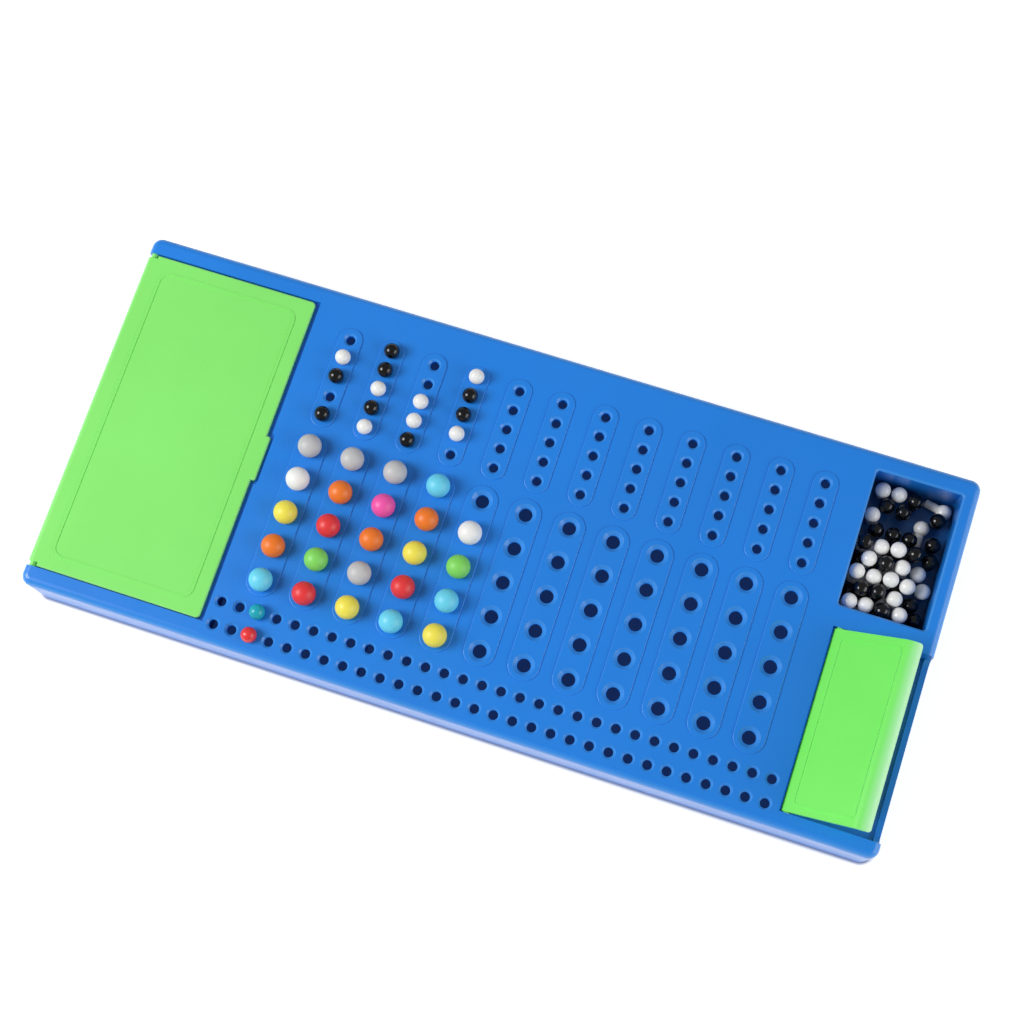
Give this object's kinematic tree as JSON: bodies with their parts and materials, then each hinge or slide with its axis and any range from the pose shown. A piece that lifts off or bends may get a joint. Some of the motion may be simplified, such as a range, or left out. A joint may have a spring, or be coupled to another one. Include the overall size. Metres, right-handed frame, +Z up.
{
  "type": "code breaking peg game",
  "caption": "Blue code breaking game board with rows of peg holes, coloured ball-headed pegs, an open tray of loose clue pegs, and hinged green lids over the storage tray and code well",
  "frame": {"origin": "middle of the board's footprint, on the table it stands on", "axes": "+X along the board's long side towards the code well, +Y to the long side with the small clue holes, +Z up"},
  "size_m": [0.2946, 0.129, 0.0416],
  "materials": {
    "board_blue": "satin moulded",
    "lid_green": "satin moulded",
    "peg_grey": "glossy moulded",
    "peg_white": "glossy moulded",
    "peg_yellow": "glossy moulded",
    "peg_orange": "glossy moulded",
    "peg_light_blue": "glossy moulded",
    "peg_red": "glossy moulded",
    "peg_green": "glossy moulded",
    "peg_pink": "glossy moulded",
    "peg_teal": "glossy moulded",
    "peg_black": "glossy moulded"
  },
  "bodies": {
    "board": {"board_rim": "board_blue", "peg_deck": "board_blue", "peg_tray": "board_blue", "clue_tray": "board_blue", "code_well": "board_blue", "deck_ribs": "board_blue", "stored_green_pegs": "peg_green", "stored_grey_pegs": "peg_grey", "stored_light_blue_pegs": "peg_light_blue", "stored_orange_pegs": "peg_orange", "stored_pink_pegs": "peg_pink", "stored_red_pegs": "peg_red", "stored_white_pegs": "peg_white", "stored_yellow_pegs": "peg_yellow"},
    "tray_lid": {"tray_lid": "lid_green"},
    "code_shield": {"code_shield": "lid_green"},
    "loose_clue_pegs": {"loose_black_pegs": "peg_black", "loose_white_pegs": "peg_white"},
    "code_peg_c1_r1_grey": {"code_peg_c1_r1_grey": "peg_grey"},
    "code_peg_c1_r2_white": {"code_peg_c1_r2_white": "peg_white"},
    "code_peg_c1_r3_yellow": {"code_peg_c1_r3_yellow": "peg_yellow"},
    "code_peg_c1_r4_orange": {"code_peg_c1_r4_orange": "peg_orange"},
    "code_peg_c1_r5_light_blue": {"code_peg_c1_r5_light_blue": "peg_light_blue"},
    "code_peg_c2_r1_grey": {"code_peg_c2_r1_grey": "peg_grey"},
    "code_peg_c2_r2_orange": {"code_peg_c2_r2_orange": "peg_orange"},
    "code_peg_c2_r3_red": {"code_peg_c2_r3_red": "peg_red"},
    "code_peg_c2_r4_green": {"code_peg_c2_r4_green": "peg_green"},
    "code_peg_c2_r5_red": {"code_peg_c2_r5_red": "peg_red"},
    "code_peg_c3_r1_grey": {"code_peg_c3_r1_grey": "peg_grey"},
    "code_peg_c3_r2_pink": {"code_peg_c3_r2_pink": "peg_pink"},
    "code_peg_c3_r3_orange": {"code_peg_c3_r3_orange": "peg_orange"},
    "code_peg_c3_r4_grey": {"code_peg_c3_r4_grey": "peg_grey"},
    "code_peg_c3_r5_yellow": {"code_peg_c3_r5_yellow": "peg_yellow"},
    "code_peg_c4_r1_light_blue": {"code_peg_c4_r1_light_blue": "peg_light_blue"},
    "code_peg_c4_r2_orange": {"code_peg_c4_r2_orange": "peg_orange"},
    "code_peg_c4_r3_yellow": {"code_peg_c4_r3_yellow": "peg_yellow"},
    "code_peg_c4_r4_red": {"code_peg_c4_r4_red": "peg_red"},
    "code_peg_c4_r5_light_blue": {"code_peg_c4_r5_light_blue": "peg_light_blue"},
    "code_peg_c5_r2_white": {"code_peg_c5_r2_white": "peg_white"},
    "code_peg_c5_r3_green": {"code_peg_c5_r3_green": "peg_green"},
    "code_peg_c5_r4_light_blue": {"code_peg_c5_r4_light_blue": "peg_light_blue"},
    "code_peg_c5_r5_yellow": {"code_peg_c5_r5_yellow": "peg_yellow"},
    "key_peg_c1_r2_white": {"key_peg_c1_r2_white": "peg_white"},
    "key_peg_c1_r3_black": {"key_peg_c1_r3_black": "peg_black"},
    "key_peg_c1_r5_black": {"key_peg_c1_r5_black": "peg_black"},
    "key_peg_c2_r1_black": {"key_peg_c2_r1_black": "peg_black"},
    "key_peg_c2_r2_black": {"key_peg_c2_r2_black": "peg_black"},
    "key_peg_c2_r3_white": {"key_peg_c2_r3_white": "peg_white"},
    "key_peg_c2_r4_black": {"key_peg_c2_r4_black": "peg_black"},
    "key_peg_c2_r5_white": {"key_peg_c2_r5_white": "peg_white"},
    "key_peg_c3_r3_white": {"key_peg_c3_r3_white": "peg_white"},
    "key_peg_c3_r4_white": {"key_peg_c3_r4_white": "peg_white"},
    "key_peg_c3_r5_black": {"key_peg_c3_r5_black": "peg_black"},
    "key_peg_c4_r1_white": {"key_peg_c4_r1_white": "peg_white"},
    "key_peg_c4_r2_black": {"key_peg_c4_r2_black": "peg_black"},
    "key_peg_c4_r3_black": {"key_peg_c4_r3_black": "peg_black"},
    "key_peg_c4_r4_white": {"key_peg_c4_r4_white": "peg_white"},
    "score_peg_red": {"score_peg_red": "peg_red"},
    "score_peg_teal": {"score_peg_teal": "peg_teal"}
  },
  "joints": [
    {"name": "tray_lid_hinge", "type": "hinge", "parent": "board", "child": "tray_lid", "pos_m": [-0.14515, 0, 0.0229], "axis": [0, -1, 0], "range_deg": [0, 180]},
    {"name": "code_shield_hinge", "type": "hinge", "parent": "board", "child": "code_shield", "pos_m": [0.11615, -0.0278, 0.0231], "axis": [0, -1, 0], "range_deg": [-38, 60]},
    {"name": "loose_pegs_lift", "type": "slide", "parent": "board", "child": "loose_clue_pegs", "axis": [0, 0, 1], "range_m": [0, 0.03]},
    {"name": "code_peg_c1_r1_grey_lift", "type": "slide", "parent": "board", "child": "code_peg_c1_r1_grey", "axis": [0, 0, 1], "range_m": [0, 0.03]},
    {"name": "code_peg_c1_r2_white_lift", "type": "slide", "parent": "board", "child": "code_peg_c1_r2_white", "axis": [0, 0, 1], "range_m": [0, 0.03]},
    {"name": "code_peg_c1_r3_yellow_lift", "type": "slide", "parent": "board", "child": "code_peg_c1_r3_yellow", "axis": [0, 0, 1], "range_m": [0, 0.03]},
    {"name": "code_peg_c1_r4_orange_lift", "type": "slide", "parent": "board", "child": "code_peg_c1_r4_orange", "axis": [0, 0, 1], "range_m": [0, 0.03]},
    {"name": "code_peg_c1_r5_light_blue_lift", "type": "slide", "parent": "board", "child": "code_peg_c1_r5_light_blue", "axis": [0, 0, 1], "range_m": [0, 0.03]},
    {"name": "code_peg_c2_r1_grey_lift", "type": "slide", "parent": "board", "child": "code_peg_c2_r1_grey", "axis": [0, 0, 1], "range_m": [0, 0.03]},
    {"name": "code_peg_c2_r2_orange_lift", "type": "slide", "parent": "board", "child": "code_peg_c2_r2_orange", "axis": [0, 0, 1], "range_m": [0, 0.03]},
    {"name": "code_peg_c2_r3_red_lift", "type": "slide", "parent": "board", "child": "code_peg_c2_r3_red", "axis": [0, 0, 1], "range_m": [0, 0.03]},
    {"name": "code_peg_c2_r4_green_lift", "type": "slide", "parent": "board", "child": "code_peg_c2_r4_green", "axis": [0, 0, 1], "range_m": [0, 0.03]},
    {"name": "code_peg_c2_r5_red_lift", "type": "slide", "parent": "board", "child": "code_peg_c2_r5_red", "axis": [0, 0, 1], "range_m": [0, 0.03]},
    {"name": "code_peg_c3_r1_grey_lift", "type": "slide", "parent": "board", "child": "code_peg_c3_r1_grey", "axis": [0, 0, 1], "range_m": [0, 0.03]},
    {"name": "code_peg_c3_r2_pink_lift", "type": "slide", "parent": "board", "child": "code_peg_c3_r2_pink", "axis": [0, 0, 1], "range_m": [0, 0.03]},
    {"name": "code_peg_c3_r3_orange_lift", "type": "slide", "parent": "board", "child": "code_peg_c3_r3_orange", "axis": [0, 0, 1], "range_m": [0, 0.03]},
    {"name": "code_peg_c3_r4_grey_lift", "type": "slide", "parent": "board", "child": "code_peg_c3_r4_grey", "axis": [0, 0, 1], "range_m": [0, 0.03]},
    {"name": "code_peg_c3_r5_yellow_lift", "type": "slide", "parent": "board", "child": "code_peg_c3_r5_yellow", "axis": [0, 0, 1], "range_m": [0, 0.03]},
    {"name": "code_peg_c4_r1_light_blue_lift", "type": "slide", "parent": "board", "child": "code_peg_c4_r1_light_blue", "axis": [0, 0, 1], "range_m": [0, 0.03]},
    {"name": "code_peg_c4_r2_orange_lift", "type": "slide", "parent": "board", "child": "code_peg_c4_r2_orange", "axis": [0, 0, 1], "range_m": [0, 0.03]},
    {"name": "code_peg_c4_r3_yellow_lift", "type": "slide", "parent": "board", "child": "code_peg_c4_r3_yellow", "axis": [0, 0, 1], "range_m": [0, 0.03]},
    {"name": "code_peg_c4_r4_red_lift", "type": "slide", "parent": "board", "child": "code_peg_c4_r4_red", "axis": [0, 0, 1], "range_m": [0, 0.03]},
    {"name": "code_peg_c4_r5_light_blue_lift", "type": "slide", "parent": "board", "child": "code_peg_c4_r5_light_blue", "axis": [0, 0, 1], "range_m": [0, 0.03]},
    {"name": "code_peg_c5_r2_white_lift", "type": "slide", "parent": "board", "child": "code_peg_c5_r2_white", "axis": [0, 0, 1], "range_m": [0, 0.03]},
    {"name": "code_peg_c5_r3_green_lift", "type": "slide", "parent": "board", "child": "code_peg_c5_r3_green", "axis": [0, 0, 1], "range_m": [0, 0.03]},
    {"name": "code_peg_c5_r4_light_blue_lift", "type": "slide", "parent": "board", "child": "code_peg_c5_r4_light_blue", "axis": [0, 0, 1], "range_m": [0, 0.03]},
    {"name": "code_peg_c5_r5_yellow_lift", "type": "slide", "parent": "board", "child": "code_peg_c5_r5_yellow", "axis": [0, 0, 1], "range_m": [0, 0.03]},
    {"name": "key_peg_c1_r2_white_lift", "type": "slide", "parent": "board", "child": "key_peg_c1_r2_white", "axis": [0, 0, 1], "range_m": [0, 0.03]},
    {"name": "key_peg_c1_r3_black_lift", "type": "slide", "parent": "board", "child": "key_peg_c1_r3_black", "axis": [0, 0, 1], "range_m": [0, 0.03]},
    {"name": "key_peg_c1_r5_black_lift", "type": "slide", "parent": "board", "child": "key_peg_c1_r5_black", "axis": [0, 0, 1], "range_m": [0, 0.03]},
    {"name": "key_peg_c2_r1_black_lift", "type": "slide", "parent": "board", "child": "key_peg_c2_r1_black", "axis": [0, 0, 1], "range_m": [0, 0.03]},
    {"name": "key_peg_c2_r2_black_lift", "type": "slide", "parent": "board", "child": "key_peg_c2_r2_black", "axis": [0, 0, 1], "range_m": [0, 0.03]},
    {"name": "key_peg_c2_r3_white_lift", "type": "slide", "parent": "board", "child": "key_peg_c2_r3_white", "axis": [0, 0, 1], "range_m": [0, 0.03]},
    {"name": "key_peg_c2_r4_black_lift", "type": "slide", "parent": "board", "child": "key_peg_c2_r4_black", "axis": [0, 0, 1], "range_m": [0, 0.03]},
    {"name": "key_peg_c2_r5_white_lift", "type": "slide", "parent": "board", "child": "key_peg_c2_r5_white", "axis": [0, 0, 1], "range_m": [0, 0.03]},
    {"name": "key_peg_c3_r3_white_lift", "type": "slide", "parent": "board", "child": "key_peg_c3_r3_white", "axis": [0, 0, 1], "range_m": [0, 0.03]},
    {"name": "key_peg_c3_r4_white_lift", "type": "slide", "parent": "board", "child": "key_peg_c3_r4_white", "axis": [0, 0, 1], "range_m": [0, 0.03]},
    {"name": "key_peg_c3_r5_black_lift", "type": "slide", "parent": "board", "child": "key_peg_c3_r5_black", "axis": [0, 0, 1], "range_m": [0, 0.03]},
    {"name": "key_peg_c4_r1_white_lift", "type": "slide", "parent": "board", "child": "key_peg_c4_r1_white", "axis": [0, 0, 1], "range_m": [0, 0.03]},
    {"name": "key_peg_c4_r2_black_lift", "type": "slide", "parent": "board", "child": "key_peg_c4_r2_black", "axis": [0, 0, 1], "range_m": [0, 0.03]},
    {"name": "key_peg_c4_r3_black_lift", "type": "slide", "parent": "board", "child": "key_peg_c4_r3_black", "axis": [0, 0, 1], "range_m": [0, 0.03]},
    {"name": "key_peg_c4_r4_white_lift", "type": "slide", "parent": "board", "child": "key_peg_c4_r4_white", "axis": [0, 0, 1], "range_m": [0, 0.03]},
    {"name": "score_peg_red_lift", "type": "slide", "parent": "board", "child": "score_peg_red", "axis": [0, 0, 1], "range_m": [0, 0.03]},
    {"name": "score_peg_teal_lift", "type": "slide", "parent": "board", "child": "score_peg_teal", "axis": [0, 0, 1], "range_m": [0, 0.03]}
  ]
}
